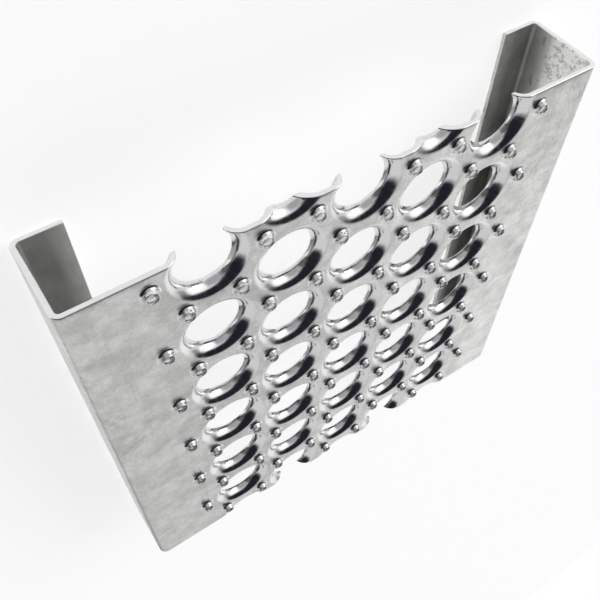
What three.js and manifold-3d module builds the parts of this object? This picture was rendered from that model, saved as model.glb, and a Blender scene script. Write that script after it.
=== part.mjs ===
// Short cut length of a press-formed safety-grating plank.
// The real part is one aluminium sheet. Large drain holes are pressed down into it and small
// pierced buttons are pressed up out of it. Then each long side is folded down into a flange
// and folded in again into a return lip. Both ends are sawn straight through the pattern.
// The sheet is divided at its fold lines into the regions of a channel section.
//
// Millimetres, +Z up. X runs across the plank and Y along it. The origin is at the middle of
// the base, on the surface that the return lips stand on.

import * as THREE from 'three';
import { mergeGeometries, mergeVertices } from 'three/addons/utils/BufferGeometryUtils.js';
import Module from 'manifold-3d';

// Channel section
const WIDTH = 250; // over the outer faces of the two flanges
const LENGTH = 240; // between the two sawn ends
const DEPTH = 40; // from the base to the walking surface
const LIP_WIDTH = 20; // from the flange's outer face to the lip's free edge
const SHEET = 2.3; // sheet thickness
const FOLD_RADIUS = 4; // outside radius of the four folds
const FOLD_STEPS = 5;
const REGION_GAP = 0.3; // clearance between neighbouring regions

// Hole pattern: a triangular lattice, with neighbouring columns staggered by half a pitch
const PITCH = 40;
const COLUMN_PITCH = (PITCH * Math.sqrt(3)) / 2;
const ROW_PITCH = PITCH / 2;
const FIRST_ROW = 8.7; // from the +Y sawn end to the centre line of row 0
const FIRST_PARTIAL_ROW = -1; // its drain holes are centred past the +Y end
const LAST_PARTIAL_ROW = 12; // its drain holes are centred past the -Y end
const OUTER_HOLE_COLUMN = 2; // drain-hole columns run from -2 to 2
const OUTER_BUTTON_COLUMN = 3; // buttons also fill the inner side of columns -3 and 3
const BUTTON_OFFSET = 1 / 3; // a button's distance from its column line, in column pitches

// Drain hole, pressed down
const HOLE_SIDES = 16;
const HOLE_RADIUS = 12.4; // at the lower edge
const HOLE_DROP = 6; // from the walking surface to the lower edge
const HOLE_RIM_RADIUS = 16.8; // where the flat sheet starts to bend
const HOLE_SHOULDER = { radius: 14.9, drop: 1 };
const HOLE_EDGE_THICKNESS = 1.7;
const HOLE_UNDERSIDE_RADIUS = 17.8; // where the flat underside starts to bend

// Button, pressed up and pierced
const BUTTON_SIDES = 8;
const BUTTON_HEIGHT = 2.6;
const BUTTON_BASE_RADIUS = 4;
const BUTTON_TOP_RADIUS = 3.1;
const BUTTON_BORE_RADIUS = 2.2;
const BUTTON_MOUTH_RADIUS = 3.2; // of its opening in the underside

const WELD = 1e-3; // vertices closer than this are one

const wasm = await Module();
wasm.setup();

const aluminium = new THREE.MeshStandardMaterial({
  color: 0xc6c8c6,
  roughness: 0.42,
  metalness: 1,
});

function toSolid(geometry) {
  const bare = geometry.clone();
  bare.deleteAttribute('normal');
  bare.deleteAttribute('uv');
  const welded = mergeVertices(bare, WELD);
  return new wasm.Manifold(
    new wasm.Mesh({
      numProp: 3,
      vertProperties: new Float32Array(welded.attributes.position.array),
      triVerts: new Uint32Array(welded.index.array),
    }),
  );
}

function toGeometry(solid) {
  const mesh = solid.getMesh();
  const geometry = new THREE.BufferGeometry();
  geometry.setAttribute('position', new THREE.BufferAttribute(mesh.vertProperties, 3));
  geometry.setIndex(new THREE.BufferAttribute(mesh.triVerts, 1));
  geometry.computeVertexNormals();
  return geometry;
}

function rowY(row) {
  return LENGTH / 2 - FIRST_ROW - row * ROW_PITCH;
}

function sameParity(row, column) {
  return Math.abs(row) % 2 === Math.abs(column) % 2;
}

// Drain holes sit on the lattice points, including those that a sawn end cuts through.
function holeCentres() {
  const centres = [];
  for (let column = -OUTER_HOLE_COLUMN; column <= OUTER_HOLE_COLUMN; column += 1) {
    for (let row = FIRST_PARTIAL_ROW; row <= LAST_PARTIAL_ROW; row += 1) {
      if (sameParity(row, column)) centres.push([column * COLUMN_PITCH, rowY(row)]);
    }
  }
  return centres;
}

// Buttons sit between the lattice points, one third of a column pitch to each side.
function buttonCentres() {
  const centres = [];
  for (let column = -OUTER_BUTTON_COLUMN; column <= OUTER_BUTTON_COLUMN; column += 1) {
    for (const side of [-BUTTON_OFFSET, BUTTON_OFFSET]) {
      if (Math.abs(column + side) > OUTER_BUTTON_COLUMN) continue;
      for (let row = 0; row < LAST_PARTIAL_ROW; row += 1) {
        if (!sameParity(row, column)) centres.push([(column + side) * COLUMN_PITCH, rowY(row)]);
      }
    }
  }
  return centres;
}

// The profiles run from the walking surface to the underside as [radius, height], with the
// heights counted from the walking surface.
const HOLE_PROFILE = [
  [HOLE_RIM_RADIUS, 0],
  [HOLE_SHOULDER.radius, -HOLE_SHOULDER.drop],
  [HOLE_RADIUS, -HOLE_DROP],
  [HOLE_RADIUS + HOLE_EDGE_THICKNESS, -HOLE_DROP],
  [HOLE_UNDERSIDE_RADIUS, -SHEET],
];

const BUTTON_PROFILE = [
  [BUTTON_BASE_RADIUS, 0],
  [BUTTON_TOP_RADIUS, BUTTON_HEIGHT],
  [BUTTON_BORE_RADIUS, BUTTON_HEIGHT],
  [BUTTON_MOUTH_RADIUS, -SHEET],
];

function rectangle(left, right, low, high) {
  const corners = [[left, low], [right, low], [right, high], [left, high]];
  return new THREE.Shape(corners.map(([x, y]) => new THREE.Vector2(x, y)));
}

// The formed wall about one vertical axis, open at both ends of its profile.
function formedWall(profile, sides, [x, y]) {
  const points = profile.map(([radius, height]) => new THREE.Vector2(radius, height));
  const wall = new THREE.LatheGeometry(points, sides);
  wall.rotateX(Math.PI / 2);
  wall.translate(x, y, DEPTH);
  return wall;
}

// The outline that a formed wall cuts out of one flat side of the sheet.
function wallRim(wall, onTop) {
  const { points, segments } = wall.parameters;
  const position = wall.attributes.position;
  const rim = [];
  for (let i = 0; i < segments; i += 1) {
    const vertex = i * points.length + (onTop ? 0 : points.length - 1);
    rim.push(new THREE.Vector2(position.getX(vertex), position.getY(vertex)));
  }
  return new THREE.Path(rim);
}

function flatSide(half, end, walls, onTop) {
  const outline = rectangle(-half, half, -end, end);
  outline.holes = walls.map((wall) => wallRim(wall, onTop));
  const side = new THREE.ShapeGeometry(outline);
  side.translate(0, 0, onTop ? DEPTH : DEPTH - SHEET);
  if (!onTop) side.index.array.reverse();
  return side;
}

// One straight edge of the flat sheet, facing away from the middle.
function sheetEdge(width, distance, turn) {
  const edge = new THREE.PlaneGeometry(width, SHEET);
  edge.rotateX(Math.PI / 2);
  edge.translate(0, -distance, DEPTH - SHEET / 2);
  edge.rotateZ(turn);
  return edge;
}

// The sheet is drawn past both ends, so that every form is whole before the ends are sawn.
function treadWeb() {
  const half = WIDTH / 2 - FOLD_RADIUS - REGION_GAP;
  const end = LENGTH / 2 + 2 * HOLE_UNDERSIDE_RADIUS;
  const walls = [
    ...holeCentres().map((centre) => formedWall(HOLE_PROFILE, HOLE_SIDES, centre)),
    ...buttonCentres().map((centre) => formedWall(BUTTON_PROFILE, BUTTON_SIDES, centre)),
  ];
  const edges = [0, 1, 2, 3].map((quarter) => {
    const [width, distance] = quarter % 2 ? [2 * end, half] : [2 * half, end];
    return sheetEdge(width, distance, (quarter * Math.PI) / 2);
  });
  const skin = [flatSide(half, end, walls, true), flatSide(half, end, walls, false), ...walls, ...edges];
  const kept = new THREE.BoxGeometry(WIDTH, LENGTH, DEPTH);
  kept.translate(0, 0, DEPTH);
  return toGeometry(toSolid(mergeGeometries(skin)).intersect(toSolid(kept)));
}

// A section in the XZ plane, run from one sawn end to the other.
function alongPlank(section) {
  const geometry = new THREE.ExtrudeGeometry(section, {
    depth: LENGTH,
    bevelEnabled: false,
    curveSegments: FOLD_STEPS,
  });
  geometry.rotateX(Math.PI / 2);
  geometry.translate(0, LENGTH / 2, 0);
  return geometry;
}

// The +X flange with the quarter folds at its top and bottom.
function sideFlange() {
  const outer = WIDTH / 2;
  const inner = outer - SHEET;
  const foldX = outer - FOLD_RADIUS;
  const foldTop = DEPTH - FOLD_RADIUS;
  const insideRadius = FOLD_RADIUS - SHEET;
  const section = new THREE.Shape();
  section.moveTo(foldX, DEPTH);
  section.absarc(foldX, foldTop, FOLD_RADIUS, Math.PI / 2, 0, true);
  section.lineTo(outer, FOLD_RADIUS);
  section.absarc(foldX, FOLD_RADIUS, FOLD_RADIUS, 0, -Math.PI / 2, true);
  section.lineTo(foldX, SHEET);
  section.absarc(foldX, FOLD_RADIUS, insideRadius, -Math.PI / 2, 0, false);
  section.lineTo(inner, foldTop);
  section.absarc(foldX, foldTop, insideRadius, 0, Math.PI / 2, false);
  section.closePath();
  return alongPlank(section);
}

// The flat part of the +X return lip.
function returnLip() {
  const freeEdge = WIDTH / 2 - LIP_WIDTH;
  const foldEdge = WIDTH / 2 - FOLD_RADIUS - REGION_GAP;
  return alongPlank(rectangle(freeEdge, foldEdge, 0, SHEET));
}

function named(name, geometry) {
  const mesh = new THREE.Mesh(geometry, aluminium);
  mesh.name = name;
  return mesh;
}

const plank = new THREE.Group();
plank.add(named('tread_web', treadWeb()));

// The two sides are the same section, turned half a turn about the vertical axis.
for (const [hand, turn] of [['right', 0], ['left', Math.PI]]) {
  const side = new THREE.Group();
  side.rotation.z = turn;
  side.add(named(`${hand}_side_flange`, sideFlange()));
  side.add(named(`${hand}_return_lip`, returnLip()));
  plank.add(side);
}

export default plank;
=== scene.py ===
"""The looks of a short cut length of a pressed metal plank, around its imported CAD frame.

The whole sheet is drawn as one closed surface with every drain hole and button pressed into
it, sawn off at both ends, and divided at the frame's own fold lines. Metres throughout,
except where a name ends in _MM.
"""

import math
import random

import bmesh
import bpy
from mathutils import Matrix, Vector, noise
from mathutils.geometry import delaunay_2d_cdt


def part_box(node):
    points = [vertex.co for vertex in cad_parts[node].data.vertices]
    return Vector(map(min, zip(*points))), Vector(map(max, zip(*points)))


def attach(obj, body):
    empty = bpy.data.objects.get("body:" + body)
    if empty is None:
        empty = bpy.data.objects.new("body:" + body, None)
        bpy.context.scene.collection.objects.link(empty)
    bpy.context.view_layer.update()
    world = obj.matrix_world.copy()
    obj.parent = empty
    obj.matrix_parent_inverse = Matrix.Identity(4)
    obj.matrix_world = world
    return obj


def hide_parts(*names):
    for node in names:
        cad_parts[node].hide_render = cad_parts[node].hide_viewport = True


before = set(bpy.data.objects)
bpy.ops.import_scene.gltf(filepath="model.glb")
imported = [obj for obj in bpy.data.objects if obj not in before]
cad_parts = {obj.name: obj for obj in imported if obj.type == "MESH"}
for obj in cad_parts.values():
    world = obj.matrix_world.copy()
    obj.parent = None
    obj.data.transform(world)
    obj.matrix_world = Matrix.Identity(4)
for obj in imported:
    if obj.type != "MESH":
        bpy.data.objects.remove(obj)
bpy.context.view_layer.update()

MM = 0.001

# ---------------------------------------------------------------- sizes from the frame
WEB_LOW, WEB_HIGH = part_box("tread_web")
LIP_LOW, LIP_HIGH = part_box("right_return_lip")
FLANGE_LOW, FLANGE_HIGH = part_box("right_side_flange")

HALF_WIDTH = FLANGE_HIGH.x
HALF_LENGTH = FLANGE_HIGH.y
DEPTH = FLANGE_HIGH.z  # base to walking surface
SHEET = LIP_HIGH.z - LIP_LOW.z
LIP_EDGE = LIP_LOW.x
FOLD_LINE = WEB_HIGH.x  # where the tread's flat is divided from the folded side
FOLD_RADIUS = HALF_WIDTH - FLANGE_LOW.x
HOLE_DROP = DEPTH - WEB_LOW.z
BUTTON_HEIGHT = WEB_HIGH.z - DEPTH

# ---------------------------------------------------------------- hole pattern
PITCH = 40 * MM
COLUMN_PITCH = PITCH * math.sqrt(3) / 2
ROW_PITCH = PITCH / 2
FIRST_ROW = 8.7 * MM  # from the +Y sawn end to row 0
FIRST_PARTIAL_ROW = -1
LAST_PARTIAL_ROW = 12
OUTER_HOLE_COLUMN = 2
OUTER_BUTTON_COLUMN = 3
BUTTON_OFFSET = 1 / 3  # in column pitches

# ---------------------------------------------------------------- drain holes
HOLE_RADIUS = 12.4 * MM  # at the torn lower edge
HOLE_SEGMENTS = 56
# each bend of the rim: its radius, the slope it ends at, steps
RIM_BENDS = [(4 * MM, math.radians(22), 4), (6.4 * MM, math.radians(76), 8)]
TORN_EDGE = 1.6 * MM  # sheet left at the lower edge
TORN_ROUND = 0.3 * MM
# round the torn edge: (distance from its inner or outer side, height over its lowest level)
TORN_INNER_MM = [(0.12, 0.08), (0.4, 0.0)]
TORN_OUTER_MM = [(0.35, 0.0), (0.05, 0.2)]
BURNISH_FROM = math.radians(9)  # the rim turns from dull to bright between these slopes
BURNISH_TO = math.radians(24)
GUARD = 0.08 * MM  # flat ring kept round each hole
HOLE_RAGGED = 0.16 * MM
HOLE_LEAN = 0.06 * MM

# ---------------------------------------------------------------- buttons
BUTTON_SEGMENTS = 24
BUTTON_GUARD_MM = 4.85  # radius of the flat ring kept round each button
BUTTON_FOOT_MM = 4.8  # radius at which it starts to rise
BUTTON_FILLET_MM = 1.7
BUTTON_SLOPES = (12, 24, 36, 48, 60, 74)  # degrees
# (radius, depth below the top) over the lip and into the mouth, the last three inside the mouth
BUTTON_LIP_MM = [(2.9, 0.4), (2.84, 0.17), (2.73, 0.03), (2.62, 0), (2.46, 0.05), (2.31, 0.18),
                 (2.21, 0.38), (2.15, 0.68)]
MOUTH_STEPS = 3
# (radius, height over the walking surface) down the bore, then over the underside
BUTTON_BORE_MM = [(2.13, 1.1), (2.3, 0), (2.7, -1.3)]
BUTTON_FLARE_MM = [(3.15, 0.25), (3.9, 0)]
# painted shade fills the button bore below this height
BORE_DARK_BELOW_MM = 0.5
BUTTON_RAGGED = 0.08 * MM
BUTTON_LEAN = 0.12 * MM

# ---------------------------------------------------------------- unevenness of a pressed shape
WOBBLE_TURNS, TEAR_TURNS, TEAR_OFFSET = 2.2, 9, 0.3  # how often each varies round the shape
WOBBLE_OUT, TEAR_OUT, TEAR_DOWN = 0.9, 0.5, 0.8  # how far, as parts of the shape's raggedness
SEED_REACH = 50

# ---------------------------------------------------------------- sheet
STATION_STEP = 6 * MM
OVERRUN = 22 * MM  # sheet drawn past each end before it is sawn
GRID_STEP = 5 * MM
GRID_STRAY = 1 * MM
GRID_CLEARANCE = 1.5 * MM  # from a grid point to a pressed shape
SAW_ROUND = 0.45 * MM
SAW_STEPS = 3
SAW_MERGE = 0.08 * MM
TOP_ROUND = 0.5 * MM  # wear of the saw cut along the walking surface
DIVIDE = (FOLD_LINE + FLANGE_LOW.x) / 2
FOLD_STEPS = 10
LIP_ROUND = 0.4 * MM  # of the lip's free edge
WAVE = 0.10 * MM  # how far the walking surface strays from true
BOW = 1.5 * WAVE  # how far the flanges do
LIFT_SCALE, LIFT_SEED = 22, 3.1
BOW_ALONG, BOW_UP, BOW_SEED = 18, 20, 9.7
BOW_SIDE_POWER = 8  # keeps the bow to the flanges
TINY = 1e-6
CUT_TOLERANCE = 1e-7
SHARP = math.radians(40)
CUT_SLOT = 1  # the material slot of the sawn ends

# how much painted shade, and dull roughness, each sheltered face gets
LIP_SHADE_AND_DULLNESS = 1.0
LIP_EDGE_SHADE_AND_DULLNESS = 0.3
FLANGE_SHADE_AND_DULLNESS = 0.35
BORE_SHADE_AND_DULLNESS = 0.8
MOUTH_SHADE_AND_DULLNESS = 0.5

# ---------------------------------------------------------------- finish: colours
FLAT_LOW, FLAT_MID, FLAT_HIGH = (0.73, 0.73, 0.71), (0.85, 0.85, 0.83), (0.96, 0.96, 0.94)
BURNISHED_LOW, BURNISHED_HIGH = (0.84, 0.84, 0.845), (0.91, 0.91, 0.91)
# colours of the painted shade on the sheltered inside faces
PAINTED_SHADE_LOW, PAINTED_SHADE_HIGH = (0.17, 0.17, 0.165), (0.50, 0.50, 0.49)
OXIDE_PALE, OXIDE_VEIN = (0.95, 0.95, 0.92), (0.50, 0.49, 0.45)
SPECKLE_LOW, SPECKLE_HIGH = (0.84, 0.84, 0.84), (1, 1, 1)
SAWN_LOW, SAWN_HIGH = (0.90, 0.90, 0.90), (0.98, 0.98, 0.98)
SCORED_COLOUR = (0.45, 0.45, 0.47, 1)
SMEAR_COLOUR = (0.62, 0.62, 0.61, 1)
MARK_COLOUR = (0.30, 0.29, 0.28, 1)
STAIN_COLOUR = (0.50, 0.43, 0.33, 1)

# ---------------------------------------------------------------- finish: noises
# even noise over the part: scale, detail, roughness
MOTTLE = (85, 5, 0.62)
SPECKLE = (620, 3, 0.7)
BLOTCHES = (60, 4, 0.65)
SPECKS = (900, 2, 0.5)
SPECK_GROUPS = (60, 1, 0.5)
STAIN_GRAIN = (320, 4, 0.7)
CRYSTALS = (420, 4, 0.75)
SHELTER = (55, 4, 0.6)
ROLLING_WAVE = (30, 1, 0.5)
# drawn-out noise: scale along each axis, turn in degrees, detail, roughness
SMEARS = ((50, 120, 60), 28, 5, 0.65)
CROSS_SMEARS = ((260, 22, 60), 12, 3, 0.6)
SCRATCHES = ((1500, 170, 300), -14, 1, 0.5)
MILL_GRAIN = ((1400, 160, 1400), 0, 3, 0.6)
SAW_TEETH = ((260, 400, 1600), 8, 2, 0.5)
# the same, in the turned coordinates of a pressed shape
SCORES = ((1.7, 1.7, 16), 0, 4, 0.65)
DRAW_STREAKS = ((7, 7, 0.5), 0, 4, 0.6)

# where a noise takes hold: its value at the start and in full, and the strength at each
BLOTCH_SPAN = (0.50, 0.66, 0.0, 0.16)
SPECK_SPAN = (0.64, 0.70, 0.0, 0.5)
SPECK_GROUP_SPAN = (0.52, 0.62)
SCRATCH_SPAN = (0.66, 0.70, 0.0, 0.8)
SMEAR_SPAN = (0.47, 0.64, 0.0, 0.20)
CROSS_SPAN = (0.54, 0.66, 0.0, 0.22)
STAIN_SPAN = (0.42, 0.66, 0.0, 0.55)
SCORE_SPAN = (0.52, 0.66, 0.0, 0.5)
SCORE_DEPTH_SPAN = (0.5, 0.8)
# the painted shade's noise, and how much paler the painted shade gets by the +Y end
SHELTER_PART = 0.7
SHELTER_PALER = 0.4  # by the +Y end
# the same, with the roughness it gives
FLAT_ROUGH = (0.3, 0.75, 0.25, 0.37)
FORMED_ROUGH = (0.35, 0.7, 0.10, 0.21)
DULL_ROUGH = (0.2, 0.8, 0.42, 0.55)
SAWN_ROUGH = (0.3, 0.7, 0.28, 0.42)
# bumps: strength, distance
ROLLING_BUMP = (0.22, 0.6 * MM)
GRAIN_BUMP = (0.10, 0.04 * MM)
DRAWN_BUMP = (0.3, 0.3 * MM)
TEETH_BUMP = (0.2, 0.08 * MM)

# ---------------------------------------------------------------- finish: places
STAINS = [((-0.119, 0.045, 0.04), 0.011), ((-0.117, 0.020, 0.04), 0.013)]  # centre, radius
OXIDE_FROM_Y, OXIDE_OVER_Y = 0.074, 9 * MM
OXIDE_FROM_Z, OXIDE_OVER_Z = 0.013, 4 * MM
OXIDE_MOST, OXIDE_GAIN = 0.9, 2.8
STAIN_HEART = 0.2  # part of its radius over which a stain is at its strongest
RIGHT_MARGIN = (0.096, 0.108)  # the scratched strip begins across these
HANDLED = (-0.02, 0.06)  # and fades in along the plank between these

# ---------------------------------------------------------------- studio
CAMERA_PLACE = (-0.13228, 0.31356, 0.19185)
CAMERA_RIGHT = (0.82206, 0.03785, 0.56814)
CAMERA_BACK = (-0.35635, 0.81243, 0.46150)
CAMERA_LENS = 43.76
CAMERA_SHIFT = (-0.0485, 0.008)
FLOOR_REACH = 6.0
FLOOR_LEVEL = -0.2 * MM
FLOOR_COLOUR, FLOOR_ROUGH = (0.8, 0.8, 0.8, 1), 0.9
FLOOR_GLOW = 0.68  # as seen directly
FLOOR_GLOW_REFLECTED = 0.55
FLOOR_SHADED = 0.05  # reflected glow of the shaded stretch of floor
SHADE_AZIMUTH, SHADE_NEAR, SHADE_FAR = -130, 0.16, 0.34
KEY_AZIMUTH, KEY_ELEVATION, KEY_DISTANCE = 42, 20, 1.6
KEY_AIM, KEY_SIZE, KEY_POWER = (0, 0, 0.03), (0.8, 0.5), 1.6
STUDIO_LEVEL = 0.67
BACKDROP = (1, 1, 1)
# patches of the studio: azimuth from +X, elevation, full radius, outer radius (degrees), level
STUDIO_PATCHES = [
    (90, 22, 12, 34, 0.38),
    (32, 26, 16, 34, 1.15),
    (-54, 14, 8, 24, 0.92),
    (142, 14, 16, 32, 0.12),
    (-16, 29, 5, 16, 0.30),
    (-20, 47, 7, 17, 0.13),
    (-32, 64, 16, 25, 0.016),
    (5, 70, 14, 26, 0.016),
    (0, 90, 26, 38, 0.016),
    (176, 36, 14, 36, 0.016),
    (180, 62, 20, 38, 0.016),
    (150, 60, 16, 36, 0.016),
]
DARK_TINT, DARK_BELOW = (0.9, 0.95, 1.4), 0.1  # the colour of patches under this level


# ---------------------------------------------------------------- layout
def row_y(row):
    return HALF_LENGTH - FIRST_ROW - row * ROW_PITCH


def same_parity(row, column):
    return abs(row) % 2 == abs(column) % 2


def hole_centres():
    columns = range(-OUTER_HOLE_COLUMN, OUTER_HOLE_COLUMN + 1)
    rows = range(FIRST_PARTIAL_ROW, LAST_PARTIAL_ROW + 1)
    return [(c * COLUMN_PITCH, row_y(r)) for c in columns for r in rows if same_parity(r, c)]


def button_centres():
    centres = []
    for column in range(-OUTER_BUTTON_COLUMN, OUTER_BUTTON_COLUMN + 1):
        for side in (-BUTTON_OFFSET, BUTTON_OFFSET):
            if abs(column + side) > OUTER_BUTTON_COLUMN:
                continue
            for row in range(LAST_PARTIAL_ROW):
                if not same_parity(row, column):
                    centres.append(((column + side) * COLUMN_PITCH, row_y(row)))
    return centres


# ---------------------------------------------------------------- profiles
def arc(centre, radius, start, end, steps):
    """Points on an arc in a section plane, from angle start to angle end, ends included."""
    turns = [start + (end - start) * i / steps for i in range(steps + 1)]
    return [(centre[0] + radius * math.cos(a), centre[1] + radius * math.sin(a)) for a in turns]


def rim_curve():
    """(slope, reach inward, drop) at each step down a hole's rim and wall."""
    slopes, reach, drop = [0.0], [0.0], [0.0]
    for radius, last, steps in RIM_BENDS:
        first = slopes[-1]
        for i in range(1, steps + 1):
            slope, before = first + (last - first) * i / steps, slopes[-1]
            slopes.append(slope)
            reach.append(reach[-1] + radius * (math.sin(slope) - math.sin(before)))
            drop.append(drop[-1] + radius * (math.cos(before) - math.cos(slope)))
    wall = HOLE_DROP - TORN_ROUND - drop[-1]
    for part in (wall / 2, wall / 2):
        slopes.append(slopes[-1])
        reach.append(reach[-1] + part / math.tan(slopes[-1]))
        drop.append(drop[-1] + part)
    return list(zip(slopes, reach, drop))


def hole_profile():
    """[(radius, height, formed, dulled)] from the flat top round the torn edge to the underside."""
    curve = rim_curve()
    _, whole_reach, whole_drop = curve[-1]
    start = HOLE_RADIUS + whole_reach
    top, under = [], []
    for slope, reach, drop in curve:
        thick = SHEET + (TORN_EDGE - SHEET) * drop / whole_drop
        formed = min(1.0, max(0.0, (slope - BURNISH_FROM) / (BURNISH_TO - BURNISH_FROM)))
        top.append((start - reach, -drop, formed, 0.0))
        # the underside of the rim gets painted shade
        under.append((start - reach + thick * math.sin(slope), -drop - thick * math.cos(slope),
                      formed, FLANGE_SHADE_AND_DULLNESS))
    inner, outer = top[-1][0], under[-1][0]
    edge = [(inner + r * MM, -HOLE_DROP + z * MM, 1.0, 0.0) for r, z in TORN_INNER_MM]
    edge += [(outer - r * MM, -HOLE_DROP + z * MM, 1.0, 0.0) for r, z in TORN_OUTER_MM]
    below = [p for p in under[::-2] if p[1] > -HOLE_DROP + TORN_ROUND]
    if below[-1] != under[0]:
        below.append(under[0])
    guard = start + GUARD
    return [(guard, 0.0, 0.0, 0.0), *top, *edge, *below, (guard, -SHEET, 0.0, FLANGE_SHADE_AND_DULLNESS)]


def button_profile():
    """[(radius, height, formed, dulled)] from the flat top, over the button, to the underside."""
    high, low = BUTTON_HEIGHT / MM, -SHEET / MM
    rise = [(BUTTON_GUARD_MM, 0)]
    for degrees in BUTTON_SLOPES:
        slope = math.radians(degrees)
        rise.append((BUTTON_FOOT_MM - BUTTON_FILLET_MM * math.sin(slope),
                     BUTTON_FILLET_MM * (1 - math.cos(slope))))
    lip = [(r, high - down) for r, down in BUTTON_LIP_MM]
    bore = BUTTON_BORE_MM + [(r, low + up) for r, up in BUTTON_FLARE_MM] + [(BUTTON_GUARD_MM, low)]
    top = [(r, z, 1.0 if z > 0.1 else 0.0, 0.0) for r, z in rise + lip[:-MOUTH_STEPS]]
    # the mouth and the deep part of the bore get painted shade
    top += [(r, z, 1.0, MOUTH_SHADE_AND_DULLNESS) for r, z in lip[-MOUTH_STEPS:]]
    under = [(r, z, 1.0 if z > low else 0.0, BORE_SHADE_AND_DULLNESS if z < BORE_DARK_BELOW_MM else 0.0)
             for r, z in bore]
    return [(r * MM, z * MM, formed, dulled) for r, z, formed, dulled in top + under]


def side_section():
    """[(x, z, dulled)] of the folded side's outline, from the tread's top round to under it."""
    fold_x = HALF_WIDTH - FOLD_RADIUS
    top, low = (fold_x, DEPTH - FOLD_RADIUS), (fold_x, FOLD_RADIUS)
    inside = FOLD_RADIUS - SHEET
    quarter = math.pi / 2
    lip_middle, round_x = (fold_x + LIP_EDGE) / 2, LIP_EDGE + LIP_ROUND
    levels = [low[1] + (top[1] - low[1]) * part for part in (0.25, 0.5, 0.75)]
    outer = arc(top, FOLD_RADIUS, quarter, 0, FOLD_STEPS)
    outer += [(HALF_WIDTH, z) for z in reversed(levels)]
    outer += arc(low, FOLD_RADIUS, 0, -quarter, FOLD_STEPS) + [(lip_middle, 0.0)]
    edge = arc((round_x, LIP_ROUND), LIP_ROUND, -quarter, -2 * quarter, 4)
    edge += arc((round_x, SHEET - LIP_ROUND), LIP_ROUND, 2 * quarter, quarter, 4)
    lip = [(lip_middle, SHEET)] + arc(low, inside, -quarter, 0, FOLD_STEPS // 2)
    flange = [(HALF_WIDTH - SHEET, z) for z in levels]
    flange += arc(top, inside, 0, quarter, FOLD_STEPS // 2)
    # the lip, its edge and the flange's inside get painted shade
    shades = ((outer, 0.0), (edge, LIP_EDGE_SHADE_AND_DULLNESS), (lip, LIP_SHADE_AND_DULLNESS), (flange, FLANGE_SHADE_AND_DULLNESS))
    return [(x, z, dulled) for part, dulled in shades for x, z in part]


# ---------------------------------------------------------------- surfaces
class Skin:
    """Collects surfaces as grids and triangles, with the finish of each point."""

    def __init__(self):
        self.points, self.faces = [], []
        self.formed, self.dulled, self.draw = [], [], []

    def add(self, points, formed=0.0, dulled=0.0, draw=None):
        self.points += points
        self.formed += [formed] * len(points)
        self.dulled += [dulled] * len(points)
        self.draw += draw or [(0.0, 0.0, 0.0)] * len(points)

    def join(self, start, count, width, closed, flip=False):
        """Faces between count rows of width points, the first of them at start."""
        for i in range(count - 1):
            low, high = start + i * width, start + (i + 1) * width
            for j in range(width if closed else width - 1):
                k = (j + 1) % width
                face = (low + j, low + k, high + k, high + j)
                self.faces.append(face[::-1] if flip else face)

    def triangles(self, flat, faces, height, flip, dulled):
        start = len(self.points)
        self.add([(x, y, height) for x, y in flat], dulled=dulled)
        for face in faces:
            ids = [start + i for i in face]
            self.faces.append(ids[::-1] if flip else ids)

    def mesh(self, name):
        mesh = bpy.data.meshes.new(name)
        mesh.from_pydata(self.points, [], self.faces)
        for label, values in (("formed", self.formed), ("dulled", self.dulled)):
            mesh.attributes.new(label, "FLOAT", "POINT").data.foreach_set("value", values)
        draw = mesh.attributes.new("draw", "FLOAT_VECTOR", "POINT")
        draw.data.foreach_set("vector", [c for d in self.draw for c in d])
        return mesh


def ring_points(centre, radius, segments):
    turns = [2 * math.pi * i / segments for i in range(segments)]
    return [(centre[0] + radius * math.cos(a), centre[1] + radius * math.sin(a)) for a in turns]


def press(skin, centre, profile, segments, rng, ragged, lean):
    """One pressed shape: its profile turned about a vertical axis, no two quite alike."""
    seed = Vector([rng.uniform(-SEED_REACH, SEED_REACH) for _ in range(3)])
    tilt = Vector((rng.uniform(-lean, lean), rng.uniform(-lean, lean)))
    lowest, highest = min(p[1] for p in profile), max(p[1] for p in profile)
    start = len(skin.points)
    for step, (radius, z, formed, dulled) in enumerate(profile):
        row, draw = [], []
        deep = max(z / lowest if z < 0 else 0.0, z / highest if highest and z > 0 else 0.0)
        free = deep ** 2 if 0 < step < len(profile) - 1 else 0.0
        for j in range(segments):
            a = 2 * math.pi * j / segments
            c, s = math.cos(a), math.sin(a)
            wobble = noise.noise(seed + Vector((c, s, 0)) * WOBBLE_TURNS)
            tear = noise.noise(seed + Vector((c, s, TEAR_OFFSET)) * TEAR_TURNS)
            r = radius + free * (WOBBLE_OUT * wobble + TEAR_OUT * tear) * ragged
            dz = free * ((wobble + TEAR_DOWN * tear) * ragged + (tilt.x * c + tilt.y * s))
            row.append((centre[0] + r * c, centre[1] + r * s, DEPTH + z + dz))
            draw.append((c + seed.x, s + seed.y, deep))
        skin.add(row, formed, dulled, draw)
    skin.join(start, len(profile), segments, closed=True)


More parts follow.
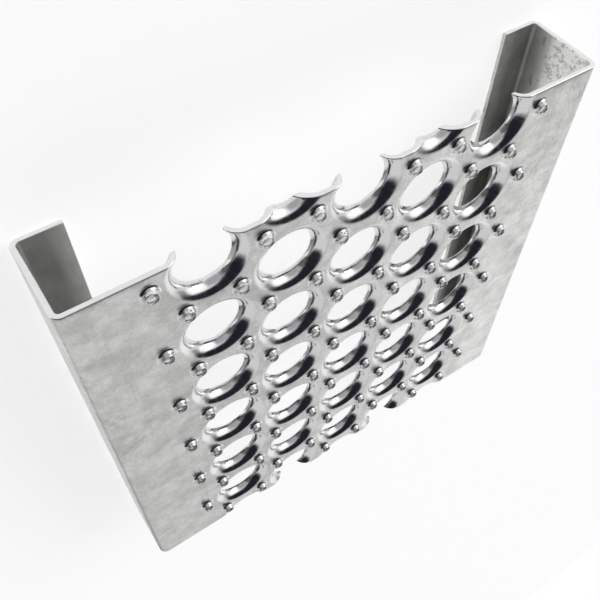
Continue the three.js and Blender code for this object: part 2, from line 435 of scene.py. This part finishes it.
def flat_sheet(holes, hole_guard, buttons, button_guard, stations, rng):
    """Triangles of the flat sheet between the pressed shapes, as 2-D points and faces."""
    fold_x = HALF_WIDTH - FOLD_RADIUS
    shapes = [(c, hole_guard, HOLE_SEGMENTS) for c in holes]
    shapes += [(c, button_guard, BUTTON_SEGMENTS) for c in buttons]
    inner = [(c, radius * math.cos(math.pi / segments)) for c, radius, segments in shapes]

    def clear(spot, gap):
        return all(math.dist(spot, c) > radius + gap for c, radius in inner)

    side = [(fold_x, y) for y in stations]
    loops = [side + [(-x, y) for x, y in reversed(side)]]
    loops += [ring_points(*shape) for shape in shapes]
    points, edges = [], []
    for ring in loops:
        first, size = len(points), len(ring)
        points += ring
        edges += [(first + i, first + (i + 1) % size) for i in range(size)]
    columns, rows = (round(2 * reach / GRID_STEP) for reach in (fold_x, stations[-1]))
    for i in range(1, columns):
        for j in range(1, rows):
            spot = (-fold_x + 2 * fold_x * i / columns + rng.uniform(-1, 1) * GRID_STRAY,
                    stations[0] * (1 - 2 * j / rows) + rng.uniform(-1, 1) * GRID_STRAY)
            if clear(spot, GRID_CLEARANCE):
                points.append(spot)
    kept, _, faces, *_ = delaunay_2d_cdt([Vector(p) for p in points], edges, [], 1, CUT_TOLERANCE)
    flat = [(p.x, p.y) for p in kept]
    upward = []
    for a, b, c in faces:
        (ax, ay), (bx, by), (cx, cy) = flat[a], flat[b], flat[c]
        if clear(((ax + bx + cx) / 3, (ay + by + cy) / 3), 0):
            turn = (bx - ax) * (cy - ay) - (by - ay) * (cx - ax)
            upward.append((a, b, c) if turn > 0 else (a, c, b))
    return flat, upward


def whole_sheet():
    """The folded and pressed sheet, still overrunning both ends and open there."""
    rng = random.Random(7)
    skin = Skin()
    hole, button = hole_profile(), button_profile()
    reach = HALF_LENGTH + OVERRUN
    count = round(2 * reach / STATION_STEP)
    stations = [-reach + 2 * reach * i / count for i in range(count + 1)]
    holes, buttons = hole_centres(), button_centres()
    flat, faces = flat_sheet(holes, hole[0][0], buttons, button[0][0], stations, rng)
    skin.triangles(flat, faces, DEPTH, flip=False, dulled=0.0)
    # the underside of the flat sheet gets painted shade
    skin.triangles(flat, faces, DEPTH - SHEET, flip=True, dulled=FLANGE_SHADE_AND_DULLNESS)
    for centre in holes:
        press(skin, centre, hole, HOLE_SEGMENTS, rng, HOLE_RAGGED, HOLE_LEAN)
    for centre in buttons:
        press(skin, centre, button, BUTTON_SEGMENTS, rng, BUTTON_RAGGED, BUTTON_LEAN)
    section = side_section()
    for hand in (-1, 1):
        start = len(skin.points)
        for x, z, dulled in section:
            skin.add([(hand * x, y, z) for y in stations], dulled=dulled)
        skin.join(start, len(section), len(stations), closed=False, flip=hand > 0)
    return skin.mesh("whole_sheet")


def stray(co):
    """The slow unevenness of a rolled and folded sheet at a point."""
    high = min(1.0, max(0.0, (co.z - 0.5 * DEPTH) / (0.4 * DEPTH)))
    lift = noise.noise(Vector((co.x * LIFT_SCALE, co.y * LIFT_SCALE, LIFT_SEED))) * high
    middle = 4 * (co.z / DEPTH) * (1 - co.z / DEPTH)
    side = math.copysign(BOW_SEED, co.x)
    bow = noise.noise(Vector((co.y * BOW_ALONG, side, co.z * BOW_UP)))
    out = bow * max(0.0, middle) * min(1.0, abs(co.x) / HALF_WIDTH) ** BOW_SIDE_POWER
    return Vector((BOW * out, 0.0, WAVE * lift))


# ---------------------------------------------------------------- sawing and dividing
def slice_at(bm, place, normal, **settings):
    everything = bm.verts[:] + bm.edges[:] + bm.faces[:]
    bmesh.ops.bisect_plane(bm, geom=everything, dist=CUT_TOLERANCE, plane_co=place,
                           plane_no=normal, **settings)


def close_rims(bm, rims, material_index=None):
    """Fills open loops with triangles, of the given material if there is one."""
    filled = bmesh.ops.holes_fill(bm, edges=rims, sides=0)["faces"]
    if material_index is not None:
        for face in filled:
            face.material_index = material_index
    bmesh.ops.triangulate(bm, faces=filled)


def into_sheet(rim):
    """Each rim point's way into the sheet's thickness, as long as its edge is worn there."""
    inward = {}
    for edge in rim:
        normal = edge.link_faces[0].normal
        for v in edge.verts:
            inward[v] = inward.get(v, Vector()) - Vector((normal.x, 0, normal.z))
    for v, direction in inward.items():
        on_top = direction.z < 0 and v.co.z > DEPTH - 2 * MM
        inward[v] = direction.normalized() * (TOP_ROUND if on_top else SAW_ROUND / 2)
    return inward


def saw_end(bm, end):
    """Cuts the sheet off square at one end, with the saw cut's own edges rounded over."""
    plane = end * (HALF_LENGTH - SAW_ROUND)
    slice_at(bm, (0, plane, 0), (0, end, 0), clear_outer=True)
    on_plane = [v for v in bm.verts if abs(v.co.y - plane) < TINY]
    bmesh.ops.remove_doubles(bm, verts=on_plane, dist=SAW_MERGE)
    bm.normal_update()
    rim = [e for e in bm.edges if e.is_boundary and abs(e.verts[0].co.y - plane) < TINY]
    runs = [(e.link_loops[0].vert, e.link_loops[0].link_loop_next.vert) for e in rim]
    inward = into_sheet(rim)
    formed = bm.verts.layers.float["formed"]
    ring = {v: v for v in inward}
    for step in range(1, SAW_STEPS + 1):
        turn = math.pi / 2 * step / SAW_STEPS
        along = Vector((0, end * SAW_ROUND * math.sin(turn), 0))
        deeper = 1 - math.cos(turn)
        fresh = {v: bm.verts.new(v.co + along + inward[v] * deeper, v) for v in inward}
        for v in fresh.values():
            v[formed] = 1.0
        for p, q in runs:
            bm.faces.new((ring[q], ring[p], fresh[p], fresh[q]))
        ring = fresh
    within = HALF_LENGTH + TINY
    rims = [e for e in bm.edges if e.is_boundary and abs(e.verts[0].co.y) < within]
    close_rims(bm, rims, CUT_SLOT)


def sawn_sheet():
    """The sheet, welded, slightly uneven and sawn to length at both ends."""
    bm = bmesh.new()
    whole = whole_sheet()
    bm.from_mesh(whole)
    bpy.data.meshes.remove(whole)
    bmesh.ops.remove_doubles(bm, verts=bm.verts, dist=TINY)
    for v in bm.verts:
        v.co += stray(v.co)
    for end in (-1, 1):
        saw_end(bm, end)
    for hand in (-1, 1):
        slice_at(bm, (hand * DIVIDE, 0, 0), (hand, 0, 0))
    return bm


def region(centre):
    """The frame node that a point of the sheet belongs to."""
    hand = "right" if centre.x > 0 else "left"
    if abs(centre.x) > DIVIDE:
        return hand + "_side_flange"
    return "tread_web" if centre.z > DEPTH / 2 else hand + "_return_lip"


def add_piece(whole, node, materials):
    """The part of the sheet standing for one node, closed at the fold line."""
    bm = whole.copy()
    others = [f for f in bm.faces if region(f.calc_center_median()) != node]
    bmesh.ops.delete(bm, geom=others, context="FACES")
    close_rims(bm, [e for e in bm.edges if e.is_boundary])
    mesh = bpy.data.meshes.new(node + "_looks")
    bm.to_mesh(mesh)
    bm.free()
    for material in materials:
        mesh.materials.append(material)
    mesh.shade_smooth()
    mesh.set_sharp_from_angle(angle=SHARP)
    piece = bpy.data.objects.new(node + "_looks", mesh)
    bpy.context.scene.collection.objects.link(piece)
    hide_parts(node)
    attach(piece, "root")


# ---------------------------------------------------------------- materials
class Shader:
    """A node tree, written as nested calls."""

    def __init__(self, tree):
        self.tree = tree
        tree.nodes.clear()

    def node(self, kind, links=(), **settings):
        made = self.tree.nodes.new("ShaderNode" + kind)
        for key, value in settings.items():
            setattr(made, key, value)
        for socket, value in dict(links).items():
            if isinstance(value, bpy.types.NodeSocket):
                self.tree.links.new(value, made.inputs[socket])
            else:
                made.inputs[socket].default_value = value
        return made

    def place(self, output="Object"):
        return self.node("TexCoord").outputs[output]

    def axes(self, vector):
        return self.node("SeparateXYZ", {0: vector}).outputs

    def noise(self, vector, scale, detail, rough):
        found = self.node("TexNoise", {"Vector": vector, "Scale": scale, "Detail": detail,
                                       "Roughness": rough})
        return found.outputs["Fac"]

    def strokes(self, vector, scale, degrees, detail, rough):
        """Noise drawn out along each axis: the smaller the scale, the longer the stroke."""
        turn = (0, 0, math.radians(degrees))
        found = self.node("Mapping", {"Vector": vector, "Scale": scale, "Rotation": turn})
        return self.noise(found.outputs["Vector"], 1.0, detail, rough)

    def span(self, value, low, high, to_low=0.0, to_high=1.0):
        found = self.node("MapRange", {"Value": value, "From Min": low, "From Max": high,
                                       "To Min": to_low, "To Max": to_high},
                          interpolation_type="SMOOTHSTEP")
        return found.outputs["Result"]

    def maths(self, operation, a, b):
        return self.node("Math", {0: a, 1: b}, operation=operation).outputs[0]

    def times(self, *factors):
        product = factors[0]
        for factor in factors[1:]:
            product = self.maths("MULTIPLY", product, factor)
        return product

    def vector_maths(self, operation, a, b):
        found = self.node("VectorMath", {0: a, 1: b}, operation=operation)
        return found.outputs["Value"]

    def ramp(self, value, stops):
        found = self.node("ValToRGB", {"Fac": value})
        ends = found.color_ramp.elements
        while len(ends) < len(stops):
            ends.new(0.5)
        for stop, (place, colour) in zip(ends, stops):
            stop.position = place
            stop.color = (*colour, 1)
        return found.outputs["Color"]

    def blend(self, factor, a, b, how="MIX"):
        found = self.node("Mix", {0: factor, 6: a, 7: b}, data_type="RGBA", blend_type=how)
        return found.outputs[2]

    def mix(self, factor, a, b):
        return self.node("Mix", {0: factor, 2: a, 3: b}, data_type="FLOAT").outputs[0]

    def attribute(self, name, output):
        return self.node("Attribute", attribute_name=name).outputs[output]

    def camera_sees(self):
        return self.node("LightPath").outputs["Is Camera Ray"]

    def bump(self, height, strength, distance, under=None):
        links = {"Height": height, "Strength": strength, "Distance": distance}
        if under:
            links["Normal"] = under
        return self.node("Bump", links).outputs["Normal"]

    def surface(self, **sockets):
        named = {key.replace("_", " "): value for key, value in sockets.items()}
        shader = self.node("BsdfPrincipled", named)
        self.node("OutputMaterial", {"Surface": shader.outputs[0]})


def new_material(name):
    material = bpy.data.materials.new(name)
    material.use_nodes = True
    return material, Shader(material.node_tree)


def marks(s, place, x, y):
    """Colour-darkening marks of handling: blotches, fine specks, and scratches at the right."""
    blotch = s.span(s.noise(place, *BLOTCHES), *BLOTCH_SPAN)
    specks = s.span(s.noise(place, *SPECKS), *SPECK_SPAN)
    grouped = s.span(s.noise(place, *SPECK_GROUPS), *SPECK_GROUP_SPAN)
    strokes = s.span(s.strokes(place, *SCRATCHES), *SCRATCH_SPAN)
    scratches = s.times(strokes, s.times(s.span(x, *RIGHT_MARGIN), s.span(y, *HANDLED)))
    return s.maths("ADD", s.maths("ADD", blotch, s.times(specks, grouped)), scratches)


def flat_colour(s, place, x, y, mottle, smear):
    """The dull flats: mottled, smeared, marked, speckled and stained."""
    colour = s.ramp(mottle, [(0.36, FLAT_LOW), (0.50, FLAT_MID), (0.64, FLAT_HIGH)])
    colour = s.blend(s.span(smear, *SMEAR_SPAN), colour, SMEAR_COLOUR)
    cross = s.strokes(place, *CROSS_SMEARS)
    colour = s.blend(s.span(cross, *CROSS_SPAN), colour, SMEAR_COLOUR)
    colour = s.blend(marks(s, place, x, y), colour, MARK_COLOUR)
    speckle = s.ramp(s.noise(place, *SPECKLE), [(0.30, SPECKLE_LOW), (0.68, SPECKLE_HIGH)])
    colour = s.blend(1.0, colour, speckle, "MULTIPLY")
    for centre, radius in STAINS:
        away = s.vector_maths("DISTANCE", place, centre)
        near = s.span(away, radius * STAIN_HEART, radius, 1.0, 0.0)
        patchy = s.span(s.noise(place, *STAIN_GRAIN), *STAIN_SPAN)
        colour = s.blend(s.times(near, patchy), colour, STAIN_COLOUR)
    return colour


def burnished_colour(s, draw, deep, mottle):
    """The drawn walls of the pressed shapes, scored lengthwise by the die."""
    bright = s.ramp(mottle, [(0.30, BURNISHED_LOW), (0.75, BURNISHED_HIGH)])
    scores = s.span(s.strokes(draw, *SCORES), *SCORE_SPAN)
    return s.blend(s.times(scores, s.span(deep, *SCORE_DEPTH_SPAN)), bright, SCORED_COLOUR)


def painted_shade_colour(s, place, y):
    """Painted shade on the sheltered inside faces, paler toward the +Y end."""
    sheltered = s.times(s.noise(place, *SHELTER), SHELTER_PART)
    sheltered = s.maths("ADD", sheltered, s.span(y, 0.0, HALF_LENGTH, 0.0, SHELTER_PALER))
    return s.ramp(sheltered, [(0.3, PAINTED_SHADE_LOW), (0.75, PAINTED_SHADE_HIGH)])


def oxide_patch(s, x, y, z, dulled):
    """1 over the pale oxide inside the right flange, up by the tread at the +Y end."""
    inside = s.times(dulled, s.span(x, FLANGE_LOW.x, FLANGE_LOW.x + MM, 0.0, OXIDE_GAIN))
    along = s.span(y, OXIDE_FROM_Y, OXIDE_FROM_Y + OXIDE_OVER_Y)
    up = s.span(z, OXIDE_FROM_Z, OXIDE_FROM_Z + OXIDE_OVER_Z)
    return s.maths("MINIMUM", s.times(inside, s.times(along, up)), OXIDE_MOST)


def mill_finish():
    """Rolled sheet, dull where flat and burnished where the dies drew it, with painted shade on its
    sheltered faces.
    """
    material, s = new_material("mill_finish")
    place = s.place()
    x, y, z = s.axes(place)
    formed, dulled = s.attribute("formed", "Fac"), s.attribute("dulled", "Fac")
    draw = s.attribute("draw", "Vector")
    deep = s.axes(draw)["Z"]
    mottle = s.noise(place, *MOTTLE)
    smear = s.strokes(place, *SMEARS)
    streak = s.strokes(draw, *DRAW_STREAKS)

    open_colour = s.blend(formed, flat_colour(s, place, x, y, mottle, smear),
                          burnished_colour(s, draw, deep, mottle))
    # painted shade where the faces are sheltered
    colour = s.blend(dulled, open_colour, painted_shade_colour(s, place, y))
    crystals = s.ramp(s.noise(place, *CRYSTALS), [(0.40, OXIDE_VEIN), (0.52, OXIDE_PALE)])
    colour = s.blend(oxide_patch(s, x, y, z, dulled), colour, crystals)

    open_rough = s.mix(formed, s.span(smear, *FLAT_ROUGH), s.span(streak, *FORMED_ROUGH))
    rough = s.mix(dulled, open_rough, s.span(mottle, *DULL_ROUGH))

    wave = s.bump(s.noise(place, *ROLLING_WAVE), *ROLLING_BUMP)
    grain = s.bump(s.strokes(place, *MILL_GRAIN), *GRAIN_BUMP, wave)
    drawn = s.bump(s.times(streak, s.times(formed, deep)), *DRAWN_BUMP, grain)
    s.surface(Base_Color=colour, Roughness=rough, Normal=drawn, Metallic=1.0)
    return material


def cut_finish():
    """Bright saw-cut metal at the two ends."""
    material, s = new_material("cut_finish")
    teeth = s.strokes(s.place(), *SAW_TEETH)
    colour = s.ramp(teeth, [(0.3, SAWN_LOW), (0.7, SAWN_HIGH)])
    s.surface(Base_Color=colour, Roughness=s.span(teeth, *SAWN_ROUGH),
              Normal=s.bump(teeth, *TEETH_BUMP), Metallic=1.0)
    return material


# ---------------------------------------------------------------- studio
def heading(azimuth, elevation):
    """The direction at an azimuth from +X and an elevation, in degrees."""
    turn, rise = math.radians(azimuth), math.radians(elevation)
    level = math.cos(rise)
    return Vector((level * math.cos(turn), level * math.sin(turn), math.sin(rise)))


def studio_floor():
    """A pale floor that glows evenly to the camera and is partly shaded in the reflections."""
    mesh = bpy.data.meshes.new("floor")
    corners = [(-1, -1), (1, -1), (1, 1), (-1, 1)]
    mesh.from_pydata([(x * FLOOR_REACH, y * FLOOR_REACH, FLOOR_LEVEL) for x, y in corners], [],
                     [(0, 1, 2, 3)])
    floor = bpy.data.objects.new("floor", mesh)
    bpy.context.scene.collection.objects.link(floor)
    material, s = new_material("floor")
    along = s.vector_maths("DOT_PRODUCT", s.place(), heading(SHADE_AZIMUTH, 0))
    reflected = s.span(along, SHADE_NEAR, SHADE_FAR, FLOOR_GLOW_REFLECTED, FLOOR_SHADED)
    s.surface(Base_Color=FLOOR_COLOUR, Roughness=FLOOR_ROUGH, Emission_Color=(1, 1, 1, 1),
              Emission_Strength=s.mix(s.camera_sees(), reflected, FLOOR_GLOW))
    mesh.materials.append(material)


def patch(s, direction, azimuth, elevation, full, outer):
    """1 inside a round patch of the surroundings, fading to 0 at its outer radius."""
    facing = s.vector_maths("DOT_PRODUCT", direction, heading(azimuth, elevation))
    return s.span(facing, math.cos(math.radians(outer)), math.cos(math.radians(full)))


def studio_world():
    """A pale studio, darker overhead and behind the camera, with a bright bank to one side."""
    world = bpy.data.worlds.new("studio")
    bpy.context.scene.world = world
    world.use_nodes = True
    s = Shader(world.node_tree)
    direction = s.place("Generated")
    studio = (STUDIO_LEVEL,) * 3 + (1,)
    for azimuth, elevation, full, outer, level in STUDIO_PATCHES:
        tint = DARK_TINT if level < DARK_BELOW else (1, 1, 1)
        colour = tuple(level * t for t in tint) + (1,)
        studio = s.blend(patch(s, direction, azimuth, elevation, full, outer), studio, colour)
    seen = s.blend(s.camera_sees(), studio, (*BACKDROP, 1))
    background = s.node("Background", {"Color": seen})
    s.node("OutputWorld", {"Surface": background.outputs[0]})


def key_light():
    light = bpy.data.lights.new("key_bank", "AREA")
    light.shape = "RECTANGLE"
    light.size, light.size_y = KEY_SIZE
    light.energy = KEY_POWER
    lamp = bpy.data.objects.new("key_bank", light)
    lamp.location = heading(KEY_AZIMUTH, KEY_ELEVATION) * KEY_DISTANCE
    lamp.rotation_euler = (Vector(KEY_AIM) - lamp.location).to_track_quat("-Z", "Y").to_euler()
    bpy.context.scene.collection.objects.link(lamp)


def set_camera():
    camera = bpy.data.cameras.new("camera")
    camera.sensor_width = 36
    camera.lens = CAMERA_LENS
    camera.shift_x, camera.shift_y = CAMERA_SHIFT
    camera.clip_start = 0.01
    back = Vector(CAMERA_BACK).normalized()
    up = back.cross(Vector(CAMERA_RIGHT)).normalized()
    axes = Matrix((up.cross(back), up, back)).transposed()
    viewer = bpy.data.objects.new("camera", camera)
    viewer.matrix_world = Matrix.Translation(CAMERA_PLACE) @ axes.to_4x4()
    bpy.context.scene.collection.objects.link(viewer)
    bpy.context.scene.camera = viewer


def build():
    whole = sawn_sheet()
    materials = [mill_finish(), cut_finish()]
    for node in ("tread_web", "left_side_flange", "right_side_flange", "left_return_lip",
                 "right_return_lip"):
        add_piece(whole, node, materials)
    whole.free()
    studio_floor()
    studio_world()
    key_light()
    set_camera()
    bpy.context.scene.view_settings.view_transform = "Standard"


build()
